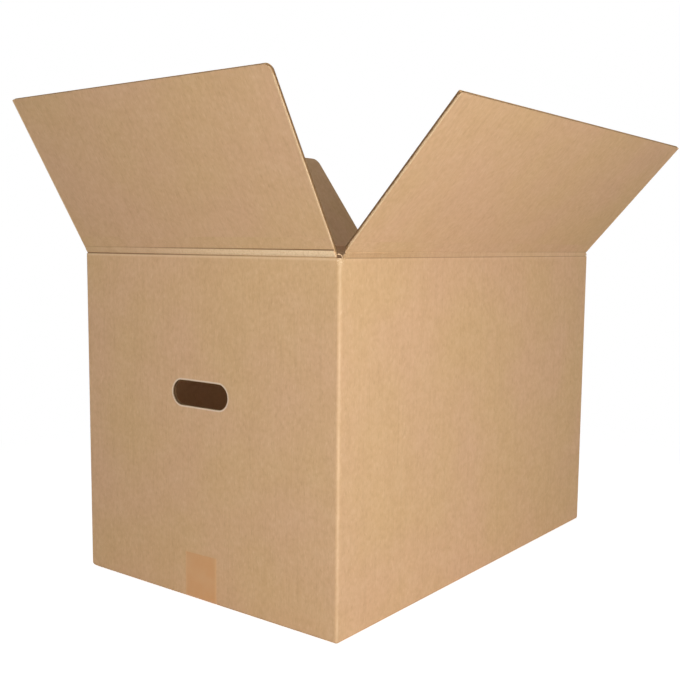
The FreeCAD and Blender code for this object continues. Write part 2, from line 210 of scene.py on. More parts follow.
def carton_board():
    """Kraft linerboard, pressed smooth by rollers: even and matte, with a pale line down its
    upright folds, partly rubbed liner and partly a painted highlight.
    """
    material, tree = new_material("kraft_board")
    place = add(tree, "TexCoord", output="Object")
    facing = add(tree, "TexCoord", output="Normal")
    colour = kraft_tone(tree, place)
    x, y, z = (add(tree, "SeparateXYZ", [place], axis) for axis in "XYZ")
    far_x, far_y = (add(tree, "Math", [value], operation="ABSOLUTE") for value in (x, y))
    to_end = add(tree, "Math", [HALF_LENGTH, far_x], operation="SUBTRACT")
    to_side = add(tree, "Math", [HALF_WIDTH, far_y], operation="SUBTRACT")

    # Upright folds: a thin broken pale line down the middle of each fold, partly rubbed liner and
    # partly a painted highlight
    off_middle = add(tree, "Math", [to_end, to_side], operation="SUBTRACT")
    off_middle = add(tree, "Math", [off_middle], operation="ABSOLUTE")
    middle = add(tree, "MapRange", [off_middle, 2.4 * MM, 0.3 * MM, 0, 1], **SMOOTH)
    inner = add(tree, "Math", [to_end, to_side], operation="MAXIMUM")
    on_fold = add(tree, "MapRange", [inner, 4 * MM, 2 * MM, 0, 1], **SMOOTH)
    long_flecks = add(tree, "Mapping", {"Vector": place, "Scale": (1, 1, 1 / 8)})
    rub_and_highlight = add(tree, "TexNoise", {"Vector": long_flecks, "Scale": 1 / (4 * MM), "Detail": 3})
    rub_and_highlight = add(tree, "MapRange", [rub_and_highlight, 0.3, 0.6, 0.08, 0.28], **SMOOTH)
    share = add(tree, "Math", [middle, on_fold], operation="MULTIPLY")
    share = add(tree, "Math", [share, rub_and_highlight], operation="MULTIPLY")
    colour = add(tree, "Mix", {0: share, 6: colour, 7: KRAFT_PALE_AND_HIGHLIGHT}, **COLOURS)

    # Fibres lifted on the folds just below the slots
    high = add(tree, "MapRange", [z, 390 * MM, 397 * MM, 0, 0.8], **SMOOTH)
    close = add(tree, "MapRange", [inner, 7 * MM, 3 * MM, 0, 1], **SMOOTH)
    tufts = add(tree, "TexNoise", {"Vector": place, "Scale": 1 / (1.4 * MM), "Detail": 3})
    tufts = add(tree, "MapRange", [tufts, 0.48, 0.6, 0, 1], **SMOOTH)
    share = add(tree, "Math", [high, close], operation="MULTIPLY")
    share = add(tree, "Math", [share, tufts], operation="MULTIPLY")
    colour = add(tree, "Mix", {0: share, 6: colour, 7: KRAFT_PALE_AND_HIGHLIGHT}, **COLOURS)

    # The hand holes' edge on the outer face: liner burst pale by the die
    along = add(tree, "Math", [far_y, HOLE_STRAIGHT], operation="SUBTRACT")
    along = add(tree, "Math", [along, 0.0], operation="MAXIMUM")
    above = add(tree, "Math", [z, HOLE_MIDDLE], operation="SUBTRACT")
    away = add(tree, "CombineXYZ", [along, above, 0.0])
    away = add(tree, "VectorMath", [away], "Value", operation="LENGTH")
    burst_end, burst_full = HOLE_RADIUS + 2.1 * MM, HOLE_RADIUS + 0.8 * MM
    ring = add(tree, "MapRange", [away, burst_end, burst_full, 0, 0.8], **SMOOTH)
    outside = add(tree, "MapRange", [to_end, 0.4 * MM, 0.1 * MM, 0, 1])
    share = add(tree, "Math", [ring, outside], operation="MULTIPLY")
    colour = add(tree, "Mix", {0: share, 6: colour, 7: BURST_FIBRE}, **COLOURS)

    # Cut edges show the board's core at the bottoms of the slots
    top = add(tree, "MapRange", [z, SLOT_BOTTOM - 0.2 * MM, SLOT_BOTTOM - 0.05 * MM, 0, 1])
    level = add(tree, "SeparateXYZ", [facing], "Z")
    level = add(tree, "MapRange", [level, 0.9, 0.98, 0, 1])
    share = add(tree, "Math", [top, level], operation="MULTIPLY")
    colour = add(tree, "Mix", {0: share, 6: colour, 7: CUT_FIBRE}, **COLOURS)

    # The flutes stand upright, so their lines cross each panel along its length
    face_x = add(tree, "Math", [add(tree, "SeparateXYZ", [facing], "X")], operation="ABSOLUTE")
    across_x = add(tree, "Math", [1.0, face_x], operation="SUBTRACT")
    across_x = add(tree, "Math", [x, across_x], operation="MULTIPLY")
    across_y = add(tree, "Math", [y, face_x], operation="MULTIPLY")
    across = add(tree, "Math", [across_x, across_y], operation="ADD")
    paper_finish(tree, colour, place, flute_ribs(tree, across, place))
    return material


def flap_board(crease):
    """Corrugated board cut by knives: kraft liners, the darker fluted medium and pale cut edges.

    Its pattern stands in the flap's own axes: x along the crease, y into the board and z up it.
    """
    material, tree = new_material(f"kraft_board_{crease['name']}")
    turn = tuple(Matrix(crease["axes"]).transposed().to_euler("XYZ"))
    place = add(tree, "TexCoord", output="Object")
    own = {"Vector": place, "Location": tuple(crease["origin"]), "Rotation": turn}
    place = add(tree, "Mapping", own, vector_type="TEXTURE")
    facing = add(tree, "TexCoord", output="Normal")
    facing = add(tree, "Mapping", {"Vector": facing, "Rotation": turn}, vector_type="TEXTURE")
    colour = kraft_tone(tree, place)

    depth = add(tree, "SeparateXYZ", [place], "Y")
    depth = add(tree, "Math", [depth, PIVOT_OFFSET + BOARD / 2], operation="SUBTRACT")
    depth = add(tree, "Math", [depth], operation="ABSOLUTE")
    within = add(tree, "MapRange", [depth, BOARD / 2 - 0.6 * LINER, BOARD / 2 - 0.9 * LINER, 0, 1])
    colour = add(tree, "Mix", {0: within, 6: colour, 7: MEDIUM}, **COLOURS)

    flat = add(tree, "SeparateXYZ", [facing], "Y")
    flat = add(tree, "Math", [flat], operation="ABSOLUTE")
    cut = add(tree, "MapRange", [flat, 0.35, 0.15, 0, 1])
    ragged = add(tree, "TexNoise", {"Vector": place, "Scale": 1 / (0.9 * MM), "Detail": 3})
    ragged = add(tree, "MapRange", [ragged, 0.3, 0.65, 0.3, 0.9], **SMOOTH)
    share = add(tree, "Math", [cut, ragged], operation="MULTIPLY")
    near_liner = add(tree, "MapRange", [within, 0, 1, 1, 0.4])
    share = add(tree, "Math", [share, near_liner], operation="MULTIPLY")
    colour = add(tree, "Mix", {0: share, 6: colour, 7: CUT_FIBRE}, **COLOURS)

    # At the side edges the last flute lies open: pale by the outer liner, then painted shade for
    # the open flute's hollow
    sideways = add(tree, "SeparateXYZ", [facing], "X")
    sideways = add(tree, "Math", [sideways], operation="ABSOLUTE")
    sideways = add(tree, "MapRange", [sideways, 0.7, 0.95, 0, 0.9])
    deep = add(tree, "SeparateXYZ", [place], "Y")
    pale_end, dark_start = PIVOT_OFFSET + 1.2 * MM, PIVOT_OFFSET + 1.8 * MM
    deep = add(tree, "MapRange", [deep, pale_end, dark_start, 0, 1], **SMOOTH)
    edge = add(tree, "Mix", {0: deep, 6: CUT_FIBRE, 7: FLUTE_HOLLOW_SHADE}, **COLOURS)
    colour = add(tree, "Mix", {0: sideways, 6: colour, 7: edge}, **COLOURS)

    across = add(tree, "SeparateXYZ", [place], "X")
    paper_finish(tree, colour, place, flute_ribs(tree, across, place))
    return material


def creased_liner_painted_light(name, look):
    """Liner pressed by the creasing wheel: its bead paler, partly broken fibres and partly a
    painted highlight, with painted shade in places, and painted shade in the score lines.

    The UV map holds the share along the crease and the distance across it. A look's pairs give the
    painted shade of each line, and the bead's paleness and painted shade, at the crease's two ends.
    """
    material, tree = new_material(name)
    place = add(tree, "TexCoord", output="Object")
    mark = add(tree, "TexCoord", output="UV")
    along, across = (add(tree, "SeparateXYZ", [mark], axis) for axis in "XY")
    colour = kraft_tone(tree, place)
    low_line, high_line = look["lines"]

    # The bead between the lines: paler, partly broken fibres and partly a painted highlight, and
    # darker by painted shade, in patches
    rise = [across, low_line, low_line + 1.2 * MM, 0, 1]
    fall = [across, high_line - 0.2 * MM, high_line - 1.2 * MM, 0, 1]
    rise, fall = (add(tree, "MapRange", limits, **SMOOTH) for limits in (rise, fall))
    band = add(tree, "Math", [rise, fall], operation="MULTIPLY")
    bead_patches = add(tree, "TexNoise", {"Vector": place, "Scale": 1 / (2.2 * MM), "Detail": 3})
    bead_patches = add(tree, "MapRange", [bead_patches, 0.3, 0.6, 0.55, 1], **SMOOTH)
    for strength, tone in ((look["shade"], FIBRE_DARK_AND_SHADE), (look["pale"], KRAFT_PALE_AND_HIGHLIGHT)):
        share = add(tree, "MapRange", [along, -0.5, 0.5, *strength], **SMOOTH)
        share = add(tree, "Math", [share, band], operation="MULTIPLY")
        share = add(tree, "Math", [share, bead_patches], operation="MULTIPLY")
        colour = add(tree, "Mix", {0: share, 6: colour, 7: tone}, **COLOURS)

    # A painted highlight on the ridge that the lower line pushed up below it, and painted shade in
    # the two score lines
    lifted = [across, low_line - 4.5 * MM, low_line - 1.6 * MM, 0, 1]
    below = [across, low_line - 0.3 * MM, low_line - 1.2 * MM, 0, 1]
    lifted, below = (add(tree, "MapRange", limits, **SMOOTH) for limits in (lifted, below))
    share = add(tree, "Math", [lifted, below], operation="MULTIPLY")
    share = add(tree, "Math", [share, look["ridge_highlight"]], operation="MULTIPLY")
    colour = add(tree, "Mix", {0: share, 6: colour, 7: KRAFT_PALE_AND_HIGHLIGHT}, **COLOURS)
    for line, width, strength in zip(look["lines"], look["widths"], look["dark"]):
        away = add(tree, "Math", [across, line], operation="SUBTRACT")
        away = add(tree, "Math", [away], operation="ABSOLUTE")
        line_shade = add(tree, "MapRange", [away, width, 0.3 * width, 0, 1], **SMOOTH)
        share = add(tree, "MapRange", [along, -0.5, 0.5, *strength], **SMOOTH)
        share = add(tree, "Math", [share, line_shade], operation="MULTIPLY")
        colour = add(tree, "Mix", {0: share, 6: colour, 7: SCORE_LINE_SHADE}, **COLOURS)
    paper_finish(tree, colour, place)
    return material


def cut_rim():
    """Board punched by a die: painted shade for the flute hollows over most of the cut edge, a
    little browner where the medium and liners stand proud, and pale only at the outer liner.
    """
    material, tree = new_material("die_cut_rim")
    place = add(tree, "TexCoord", output="Object")
    mark = add(tree, "TexCoord", output="UV")
    depth, height = (add(tree, "SeparateXYZ", [mark], axis) for axis in "XY")
    proud = add(tree, "MapRange", [height, 0.1 * MM, 0.3 * MM, 0, 1], **SMOOTH)
    proud = add(tree, "Math", [proud, 0.35], operation="MULTIPLY")
    colour = add(tree, "Mix", {0: proud, 6: FLUTE_HOLLOW_SHADE, 7: MEDIUM}, **COLOURS)
    liner_start, liner_full = BOARD - 0.8 * LINER, BOARD - 0.3 * LINER
    outer = add(tree, "MapRange", [depth, liner_start, liner_full, 0, 0.8], **SMOOTH)
    colour = add(tree, "Mix", {0: outer, 6: colour, 7: CUT_FIBRE}, **COLOURS)
    paper_finish(tree, colour, place)
    return material


def torn_liner():
    """Torn kraft liner: its fluffy inner fibres are paler than its face."""
    material, tree = new_material("torn_liner")
    place = add(tree, "TexCoord", output="Object")
    upright = add(tree, "Mapping", {"Vector": place, "Scale": (1, 1, 1 / 3)})
    fluff = add(tree, "TexNoise", {"Vector": upright, "Scale": 1 / (0.7 * MM), "Detail": 3})
    fluff = add(tree, "MapRange", [fluff, 0.3, 0.7, 0, 0.7], **SMOOTH)
    colour = add(tree, "Mix", {0: fluff, 6: KRAFT, 7: KRAFT_PALE_AND_HIGHLIGHT}, **COLOURS)
    paper_finish(tree, colour, place)
    return material


def packing_film():
    """Polypropylene packing tape, a stretched film: tan, with low gloss and fine stretch lines."""
    material, tree = new_material("polypropylene_tape")
    place = add(tree, "TexCoord", output="Object")
    mark = add(tree, "TexCoord", output="UV")
    clouds = add(tree, "TexNoise", {"Vector": place, "Scale": 1 / (18 * MM), "Detail": 3})
    clouds = add(tree, "MapRange", [clouds, 0.3, 0.7, 0.1, 0.3], **SMOOTH)
    colour = add(tree, "Mix", {0: clouds, 6: TAPE_TAN, 7: KRAFT}, **COLOURS)
    across = add(tree, "Math", [add(tree, "SeparateXYZ", [mark], "Y")], operation="ABSOLUTE")
    inner, outer = TAPE_HALF_WIDTH - 3.5 * MM, TAPE_HALF_WIDTH - 0.5 * MM
    margin = add(tree, "MapRange", [across, inner, outer, 0, 0.5], **SMOOTH)
    colour = add(tree, "Mix", {0: margin, 6: colour, 7: TAPE_EDGE}, **COLOURS)
    stretch = add(tree, "Mapping", {"Vector": mark, "Scale": (1 / 12, 1, 1)})
    lines = add(tree, "TexNoise", {"Vector": stretch, "Scale": 1 / (1.1 * MM), "Detail": 3})
    normal = add(tree, "Bump", {"Height": lines, "Strength": 0.3, "Distance": 0.05 * MM})
    film = {"Base Color": colour, "Normal": normal, "Roughness": 0.42, "IOR": 1.49}
    shader = add(tree, "BsdfPrincipled", film)
    tree.links.new(shader, tree.nodes.new("ShaderNodeOutputMaterial").inputs["Surface"])
    return material


# Meshes
def skin(name, rings, marks, material):
    """A closed thin skin from rings of points (stations, points round the profile, 3).

    Each ring goes out along the face and back beneath it, so the ends are closed by quads between
    its two halves. marks are the UV map's two numbers at each point. Where the enclosed volume
    comes out negative the faces are turned round, so that they point outwards.
    """
    stations, count = rings.shape[:2]
    index = np.arange(stations * count).reshape(stations, count)
    ahead = np.roll(index, -1, axis=1)
    sides = np.stack([index[:-1], ahead[:-1], ahead[1:], index[1:]], axis=-1).reshape(-1, 4)
    out = np.arange(count // 2 - 1)
    back = count - 1 - out
    cap = np.stack([out, back, back - 1, out + 1], axis=-1)
    faces = np.concatenate([sides, index[0][cap], index[-1][cap[:, ::-1]]])
    points = rings.reshape(-1, 3)
    first, second, third, fourth = (points[faces[:, corner]] for corner in range(4))
    volume = np.sum(first * (np.cross(second, third) + np.cross(third, fourth)))
    if volume < 0:
        faces = faces[:, ::-1]
    mesh = bpy.data.meshes.new(name)
    mesh.from_pydata(points.tolist(), [], faces.tolist())
    layer = mesh.uv_layers.new(name="UVMap")
    corners = np.zeros(len(mesh.loops), dtype=np.int32)
    mesh.loops.foreach_get("vertex_index", corners)
    layer.data.foreach_set("uv", marks.reshape(-1, 2)[corners].astype(np.float32).ravel())
    mesh.shade_smooth()
    mesh.set_sharp_from_angle(angle=math.radians(50))
    mesh.materials.append(material)
    made = bpy.data.objects.new(name, mesh)
    bpy.context.scene.collection.objects.link(made)
    return made


def pair(first, second):
    """Two arrays stretched to one shape and laid along a new last axis."""
    return np.stack(np.broadcast_arrays(first, second), axis=-1)


def there_and_back(out, back):
    """A ring's numbers: along its face, then beneath it the other way."""
    out, back = np.broadcast_arrays(out, back)
    return np.concatenate([out, back[:, ::-1]], axis=1)


def drift(distance, lengths, seed):
    """Slow unevenness from -1 to 1: the mean of cosines of given lengths at random phases."""
    phases = np.random.default_rng(seed).uniform(0, 2 * math.pi, len(lengths))
    pairs = zip(lengths, phases)
    waves = [np.cos(2 * math.pi * distance / length + phase) for length, phase in pairs]
    return np.mean(waves, axis=0)


def smooth_step(value, low, high):
    """0 below low, 1 above high, and an even S between."""
    share = np.clip((value - low) / (high - low), 0, 1)
    return share * share * (3 - 2 * share)


# Creases
def read_crease(joint):
    """A crease's kind and own axes, from its joint, and how far its flap leans at rest."""
    along = np.array(joint["axis"], dtype=float)
    outward = np.cross(along, UP)
    lean = math.radians(-joint["range_deg"][0] - 90)
    flap_up = math.cos(lean) * UP + math.sin(lean) * outward
    flap_out = math.cos(lean) * outward - math.sin(lean) * UP
    node = f"{joint['child']}_flap"
    return {
        "name": joint["child"],
        "kind": "end" if joint["child"].endswith("_end") else "side",
        "node": node,
        "origin": np.array(joint["pos_m"], dtype=float),
        "along": along,
        "outward": outward,
        "lean": lean,
        "half": float(np.abs(np.array(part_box(node)) @ along).max()),
        "axes": np.array([along, -flap_out, flap_up]),
    }


def carry(crease, along, out, up):
    """Points at a place along the crease and a place (out, up) in its upright plane."""
    place = crease["origin"] + along[..., None] * crease["along"]
    return place + out[..., None] * crease["outward"] + up[..., None] * UP


def bent_sheet(crease, across, rise, bend):
    """Where a liner runs over the crease: (out, up) of points at a distance across and a height.

    The direction turns from upright to the flap's lean over twice the bend. The line is the
    running sum of its direction, held on the panel's face at its lower end.
    """
    fine = np.linspace(across[0], across[-1], 801)
    angle = crease["lean"] * smooth_step(fine, -bend, bend)
    step = fine[1] - fine[0]
    out = np.concatenate([[0], np.cumsum(np.sin((angle[1:] + angle[:-1]) / 2)) * step])
    up = np.concatenate([[0], np.cumsum(np.cos((angle[1:] + angle[:-1]) / 2)) * step])
    angle = np.interp(across, fine, angle)
    line_out = np.interp(across, fine, out - PIVOT_OFFSET)
    line_up = np.interp(across, fine, up + fine[0])
    return line_out + rise * np.cos(angle), line_up - rise * np.sin(angle)


def join(made):
    """Bakes a piece's placement into its mesh."""
    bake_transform(made)


def outer_crease(crease, look, material):
    """The outer liner over a crease: a raised bead between two score lines.

    Its height over the board is a skin that fades out at both edges, less a narrow dip at each
    score line, plus a bead: a sine between the lines, pushed towards its peak and uneven along
    the crease.
    """
    low_line, high_line = look["lines"]
    margin, bend = 14 * MM, 1.2 * MM
    thickness, dip, dip_width, buried = 0.34 * MM, 0.28 * MM, 0.55 * MM, 0.12 * MM
    across = np.linspace(low_line - margin, high_line + margin, 101)
    stations = np.linspace(-1, 1, 221)[:, None]
    along = stations * (crease["half"] - 0.8 * MM)
    uneven_end = 0.6 * MM * drift(across, (2.1 * MM, 3.7 * MM, 7 * MM), 5) * np.sign(stations)
    along = along + uneven_end * (np.abs(stations) > 0.995)

    fade_in = smooth_step(across, across[0], low_line - 2 * MM)
    fade_out = smooth_step(-across, -across[-1], -high_line - 2 * MM)
    fade = fade_in * fade_out
    dips = sum(np.exp(-(((across - line) / dip_width) ** 2)) for line in look["lines"])
    toward_end = smooth_step(stations, -1, 0.6)
    bead, peak = (start + (end - start) * toward_end for start, end in (look["bead"], look["peak"]))
    share = np.clip((across - low_line) / (high_line - low_line), 0, 1)
    hump = np.sin(math.pi * share ** (math.log(0.5) / np.log(peak))) ** 1.2
    swell = bead * (1 + 0.18 * drift(along, (FLUTE_PITCH, 13 * MM, 41 * MM), 11))
    rise = (thickness - dip * dips) * fade + swell * hump
    rise = np.maximum(rise, 0.02 * MM) * (fade > 0) + 0.01 * MM

    top_out, top_up = bent_sheet(crease, across, rise, bend)
    low_out, low_up = bent_sheet(crease, across, -buried, bend)
    rings = carry(
        crease,
        there_and_back(along, along),
        there_and_back(top_out, low_out),
        there_and_back(top_up, low_up),
    )
    crosswise = there_and_back(np.broadcast_to(across, rise.shape), across)
    made = skin(f"{crease['name']}_outer_crease", rings, pair(stations / 2, crosswise), material)
    join(made)


def inner_crease(crease, material):
    """The inner liner in the crushed V of a crease, from the panel's inside to the flap's.

    Its line goes up the panel's inner face, out along the slope to the crushed apex, and back
    in along the flap's slope. Its corners are rounded by a running mean.
    """
    lean = crease["lean"]
    face, apex = -PIVOT_OFFSET - BOARD, -PIVOT_OFFSET - 0.9 * MM
    margin, blunt = 14 * MM, 1.1 * MM
    base, thickness, waver, buried = 0.02 * MM, 0.2 * MM, 0.07 * MM, 0.1 * MM
    panel = [(face, -margin), (face, -CREASE_PLAY - CRUSH_DEPTH), (apex, -CREASE_PLAY - blunt)]
    flap = [(apex, FLAP_PLAY + blunt), (face, FLAP_PLAY + CRUSH_DEPTH), (face, margin)]
    turn = np.array([[math.cos(lean), -math.sin(lean)], [math.sin(lean), math.cos(lean)]])
    route = np.concatenate([panel, np.array(flap) @ turn])
    legs = np.concatenate([[0], np.cumsum(np.hypot(*np.diff(route, axis=0).T))])
    even = np.linspace(0, legs[-1], 121)
    line = np.stack([np.interp(even, legs, route[:, axis]) for axis in (0, 1)], axis=1)
    weights = np.hanning(9)[1:-1]
    weights /= weights.sum()
    spare = len(weights) // 2
    padded = np.pad(line, ((spare, spare), (0, 0)), mode="reflect", reflect_type="odd")
    line = np.stack([np.convolve(padded[:, axis], weights, "valid") for axis in (0, 1)], axis=1)
    heading = np.gradient(line, axis=0)
    heading /= np.linalg.norm(heading, axis=1, keepdims=True)
    inward = np.stack([-heading[:, 1], heading[:, 0]], axis=1)

    fade_length = 3 * MM
    fade = smooth_step(even, 0, fade_length) * smooth_step(-even, -legs[-1], fade_length - legs[-1])
    stations = np.linspace(-1, 1, 141)[:, None]
    along = stations * (crease["half"] - 1 * MM)
    rise = base + fade * (thickness + waver * drift(along, (FLUTE_PITCH, 17 * MM), 23))
    top = line + rise[..., None] * inward
    under = line - buried * inward
    out, up = (there_and_back(top[..., axis], under[..., axis]) for axis in (0, 1))
    rings = carry(crease, np.broadcast_to(along, out.shape), out, up)
    middle = np.broadcast_to(even - legs[-1] / 2, rise.shape)
    marks = pair(stations / 2, there_and_back(middle, middle))
    made = skin(f"{crease['name']}_inner_crease", rings, marks, material)
    join(made)


# Slotted edges
def slotted_edge(crease, side, material):
    """The outer liner that the slotting knife bent over a flap's side edge, with a ragged rim.

    Its line runs along the face, round the edge on a quarter circle and in over the open flute,
    which it sinks into by the square of its depth. Its reach is a sum of cosines along the edge,
    and it starts above the crushed crease and stops below the flap's corner.
    """
    corner = WORN_CORNERS.get((crease["name"], side), CORNER_RADIUS)
    low, high = EDGE_START[crease["kind"]], FLAP_HEIGHT[crease["kind"]] - corner - 0.5 * MM
    inboard, bend, proud, thick = 1.4 * MM, 0.2 * MM, 0.1 * MM, 0.16 * MM
    up = np.linspace(low, high, 161)[:, None]
    uneven = drift(up, (2.3 * MM, 3.7 * MM, FLUTE_PITCH, 31 * MM), 50 + side)
    opening = smooth_step(up, low - 1 * MM, low + 4 * MM)
    opening = opening * smooth_step(-up, -high - 1 * MM, 3 * MM - high)
    reach = (0.3 + 1.7 * opening) * MM + 0.8 * MM * uneven * opening
    face = np.linspace(inboard, bend, 7)
    turn = np.linspace(0, math.pi / 2, 5)[1:-1]
    down = np.linspace(0, 1, 8)
    sink = 0.5 * MM * down**2

    def line(radius):
        """The profile at a radius about the bend: distances in from the edge and the face."""
        level = bend - radius
        inward = np.concatenate([face, bend - radius * np.sin(turn), level + sink])
        deep = np.concatenate([np.full(len(face), level), bend - radius * np.cos(turn)])
        deep = np.broadcast_to(deep, (len(up), len(deep)))
        deep = np.concatenate([deep, bend + reach * down], axis=1)
        return np.broadcast_to(inward, deep.shape), deep

    (top_in, top_deep), (low_in, low_deep) = line(bend + proud), line(bend + proud - thick)
    top_deep[:, 0] = -0.02 * MM
    along = side * (crease["half"] - there_and_back(top_in, low_in))
    depth = PIVOT_OFFSET + there_and_back(top_deep, low_deep)
    place = np.stack(np.broadcast_arrays(along, depth, up), axis=-1)
    rings = crease["origin"] + place @ crease["axes"]
    letter = "b" if side > 0 else "a"
    made = skin(f"{crease['name']}_slotted_edge_{letter}", rings, pair(up, depth), material)
    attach(made, crease["name"])


# Hand holes
def hole_rim(name, inner_x, outer_x, material):
    """The cut rim of a hand hole: liners stand proud at both faces and the medium waves between.

    Round the hole the line is a rounded slot. Across the board the height is 0.3 mm on the two
    liners, the same along a sine at the flute pitch, and nearly nothing between.
    """
    base, proud, buried, medium_width = 0.04 * MM, 0.3 * MM, 0.1 * MM, 0.3 * MM
    straight, curve = 2 * HOLE_STRAIGHT, math.pi * HOLE_RADIUS
    corners = np.cumsum([0, straight, curve, straight, curve])
    run = np.linspace(0, corners[-1], 421)[:, None]
    quarter = math.pi / 2
    angle = np.interp(run, corners, [-quarter, -quarter, quarter, quarter, 3 * quarter])
    middle = np.interp(run, corners, HOLE_STRAIGHT * np.array([-1, 1, 1, -1, -1]))
    level = middle + HOLE_RADIUS * np.cos(angle)
    depth = np.linspace(0, BOARD, 41)
    wave = BOARD / 2 + (BOARD / 2 - LINER) * np.sin(2 * math.pi * level / FLUTE_PITCH)
    medium = np.exp(-(((depth - wave) / medium_width) ** 2))
    from_middle = np.abs(depth - BOARD / 2)
    liner = smooth_step(from_middle, BOARD / 2 - 1.3 * LINER, BOARD / 2 - 0.7 * LINER)
    rough = 1 + 0.25 * drift(run, (1.7 * MM, 3.1 * MM, 9 * MM), 31)
    rough[-1] = rough[0]
    rise = base + proud * np.maximum(medium, liner) * rough
    rise[:, [0, -1]] = base
    height = there_and_back(rise, -buried)
    across = there_and_back(np.broadcast_to(depth, rise.shape), depth)
    x = inner_x + (outer_x - inner_x) * across / BOARD
    y = middle + (HOLE_RADIUS - height) * np.cos(angle)
    z = HOLE_MIDDLE + (HOLE_RADIUS - height) * np.sin(angle)
    made = skin(name, np.stack([x, y, z], axis=-1), pair(across, height), material)
    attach(made, "box")


# Torn liner at the slots
def torn_corner(name, side_x, side_y, seed, material):
    """The liner left at the bottom of a slot where the die tore it: a ragged strip round the fold.

    Its line follows the fold's quarter circle and then the side panel's face. Its lower edge is
    off the board but for one stem, and both edges and its curl are sums of cosines.
    """
    quarter = math.pi / 2 * FOLD_RADIUS
    length = quarter + 2.9 * MM
    stem_place, stem_width, torn_height = 0.62 * length, 1.1 * MM, 3.4 * MM
    strip_height, curl_depth, sunk, thickness = 1.3 * MM, 0.7 * MM, 0.25 * MM, 0.28 * MM
    run = np.linspace(0, length, 61)[:, None]
    rise = np.linspace(0, 1, 9)
    low = 1 - np.exp(-(((run - stem_place) / stem_width) ** 2))
    low = SLOT_BOTTOM - 0.3 * MM + torn_height * low
    tall = strip_height * (1 + 0.5 * drift(run, (1.3 * MM, 2.4 * MM, 5 * MM), seed))
    ends = smooth_step(run, -0.6 * MM, 1.2 * MM)
    ends = ends * smooth_step(-run, -length - 0.6 * MM, 1.2 * MM - length)
    height = low + tall * ends * rise
    curl = curl_depth * rise**2 * drift(run, (2.9 * MM, 6 * MM), seed + 1)
    face = sunk + curl
    thick = thickness * (1 - 0.6 * rise)
    angle = np.minimum(run / FOLD_RADIUS, math.pi / 2)
    beyond = np.maximum(run - quarter, 0)
    inset = there_and_back(face, face + thick)
    x = HALF_LENGTH - FOLD_RADIUS + (FOLD_RADIUS - inset) * np.cos(angle) - beyond
    y = HALF_WIDTH - FOLD_RADIUS + (FOLD_RADIUS - inset) * np.sin(angle)
    z = there_and_back(height, height)
    made = skin(name, np.stack([side_x * x, side_y * y, z], axis=-1), pair(run, z), material)
    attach(made, "box")


# Packing tape
def tape_strip(material):
    """The tape along the bottom seam: its line goes down one end panel, under and up the other.

    Straight legs and quarter turns follow one list of corners. Both cut ends are a triangle wave,
    from the dispenser's teeth, and a little askew. The film lies on the end panels and is let into
    the bottom seam, and lifts in small creases where it comes round the folds.
    """
    leg, base = TAPE_TOP - FOLD_RADIUS, HALF_LENGTH - FOLD_RADIUS
    turn = FOLD_RADIUS * math.pi / 2
    tooth_pitch, tooth_depth, skew = 2.5 * MM, 1.1 * MM, 0.5 * MM
    corners = np.cumsum([0, leg, turn, 2 * base, turn, leg])
    parts = zip(corners[:-1], corners[1:], (61, 9, 121, 9, 61))
    run = np.unique(np.concatenate([np.linspace(*part) for part in parts]).round(9))[:, None]
    width = np.linspace(-TAPE_HALF_WIDTH, TAPE_HALF_WIDTH, 101)
    teeth = tooth_depth * np.abs((width / tooth_pitch % 1) * 2 - 1)
    askew = skew * (1 + width / TAPE_HALF_WIDTH)
    start, end = (np.exp(-distance / (3 * MM)) for distance in (run, corners[-1] - run))
    place = run + start * (teeth + askew) - end * (teeth + askew[::-1])

    angle = np.interp(place, corners, math.pi / 2 * np.array([0, 0, 1, 1, 2, 2]))
    middle_x = np.interp(place, corners, base * np.array([-1, -1, -1, 1, 1, 1]))
    middle_z = np.interp(place, corners, [TAPE_TOP] + [FOLD_RADIUS] * 4 + [TAPE_TOP])
    folds = (leg - 4 * MM, corners[4] + 4 * MM)
    folds = sum(np.exp(-(((run - fold) / (6 * MM)) ** 2)) for fold in folds)
    lift = 0.25 * MM * folds * np.clip(drift(width, (5.3 * MM, 8.1 * MM, 14 * MM), 41), 0, 1)
    outer = FOLD_RADIUS + TAPE_FILM * np.cos(angle) ** 2 + lift * np.cos(angle) ** 4
    radius = there_and_back(outer, outer - TAPE_FILM)
    line = (angle, middle_x, middle_z)
    angle, middle_x, middle_z = (there_and_back(value, value) for value in line)
    x, z = middle_x - radius * np.cos(angle), middle_z - radius * np.sin(angle)
    y = there_and_back(width, np.broadcast_to(width, lift.shape))
    made = skin("packing_tape_film", np.stack([x, y, z], axis=-1), pair(run, y), material)
    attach(made, "box")
    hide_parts("packing_tape")


# Stage, lights and camera
def make_floor():
    """A pale floor that lights the object from below and shows its soft shadow.

    To the camera it turns plain white away from the object.
    """
    material, tree = new_material("pale_floor")
    place = add(tree, "TexCoord", output="Object")
    flat = add(tree, "VectorMath", [place], "Value", operation="LENGTH")
    paper = add(tree, "BsdfDiffuse", [FLOOR_PALE])
    glow = add(tree, "Emission", [WHITE, 0.75])
    white = add(tree, "Emission", [WHITE, 1.0])
    near = add(tree, "AddShader", [paper, glow])
    far = add(tree, "MapRange", [flat, 0.42, 0.95, 0, 1], **SMOOTH)
    shown = add(tree, "MixShader", [far, near, white])
    surface = add(tree, "MixShader", [seen_directly(tree), paper, shown])
    tree.links.new(surface, tree.nodes.new("ShaderNodeOutputMaterial").inputs["Surface"])
    half, level = 6.0, -0.3 * MM
    mesh = bpy.data.meshes.new("floor")
    corners = [(x * half, y * half, level) for x, y in ((-1, -1), (1, -1), (1, 1), (-1, 1))]
    mesh.from_pydata(corners, [], [(0, 1, 2, 3)])
    mesh.materials.append(material)
    floor = bpy.data.objects.new("floor", mesh)
    bpy.context.scene.collection.objects.link(floor)


